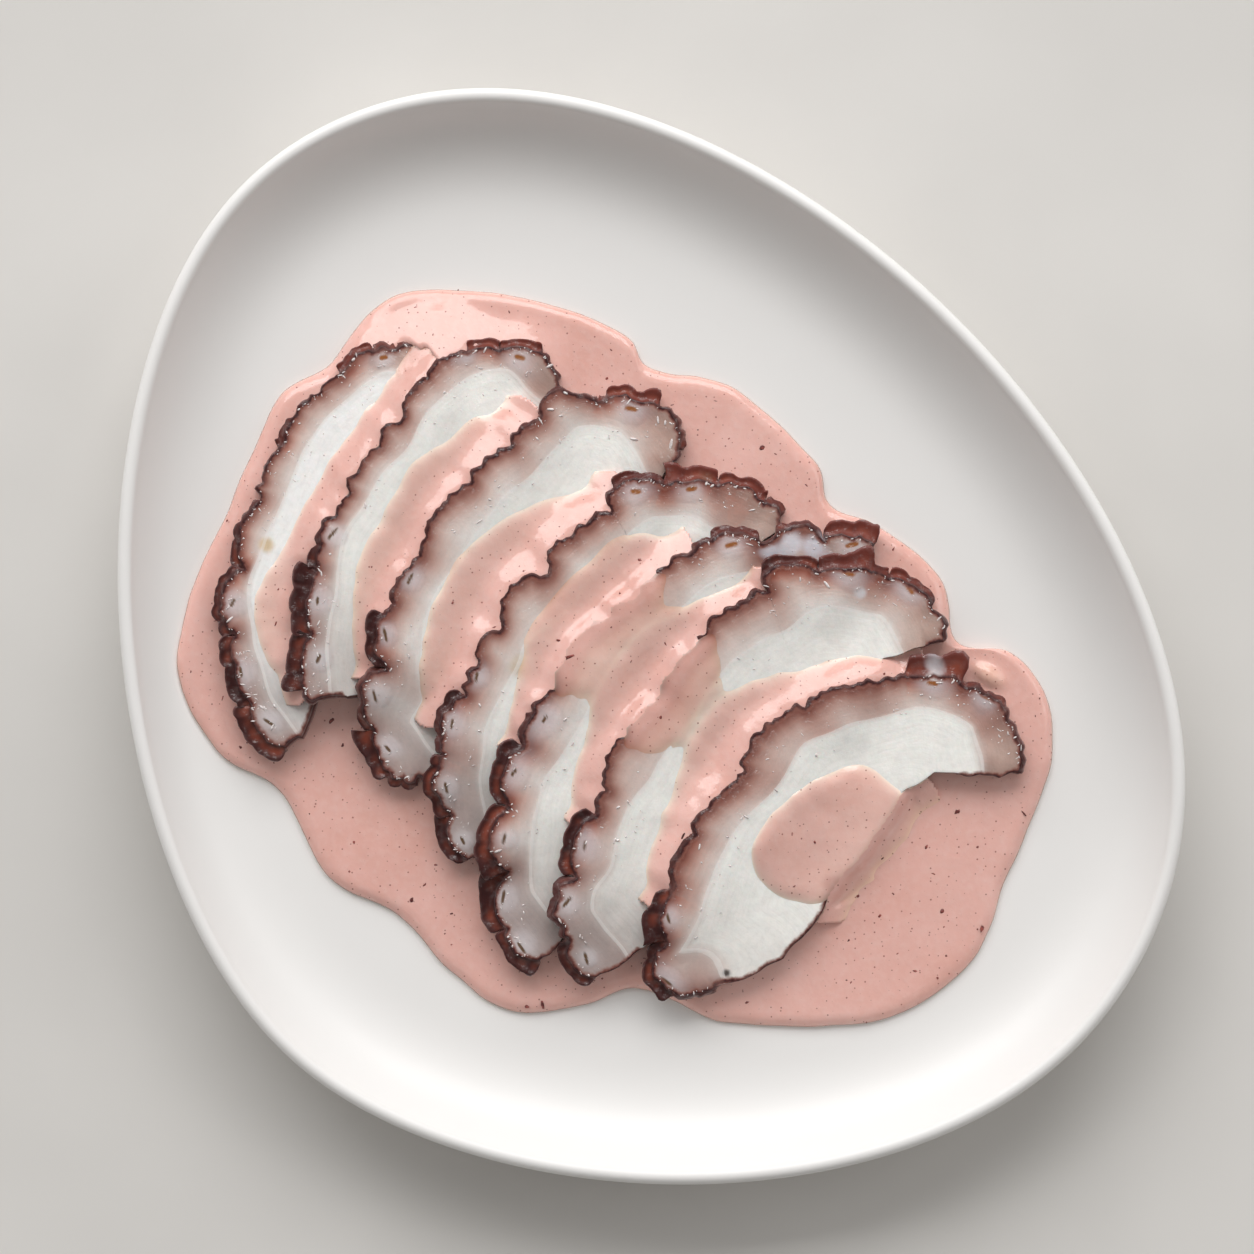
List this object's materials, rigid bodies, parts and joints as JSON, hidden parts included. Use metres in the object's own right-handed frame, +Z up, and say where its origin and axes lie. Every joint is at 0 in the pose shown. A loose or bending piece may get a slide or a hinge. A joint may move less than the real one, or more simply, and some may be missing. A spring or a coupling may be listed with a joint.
{
  "type": "sliced cooked octopus on a plate",
  "caption": "Fanned slices of cooked octopus arm with suckered edges, in pink sauce on a pebble-shaped white plate; a serving for a table.",
  "frame": {"origin": "centre of the plate's box in plan, on the surface that its foot ring stands on", "axes": "+Z up, +Y away from the eater, +X to the eater's right; the fan of slices runs from -X to +X"},
  "size_m": [0.238, 0.2444, 0.02],
  "materials": {
    "porcelain": "white glazed porcelain",
    "sauce": "glossy pink olive mayonnaise with fine dark specks",
    "octopus": "wet pearly white flesh with a dark purple-brown skin edge"
  },
  "bodies": {
    "root": {"plate": "porcelain", "sauce_pool": "sauce", "slice_1": "octopus", "slice_2": "octopus", "slice_3": "octopus", "slice_4": "octopus", "slice_5": "octopus", "slice_6": "octopus", "slice_7": "octopus"}
  },
  "joints": []
}
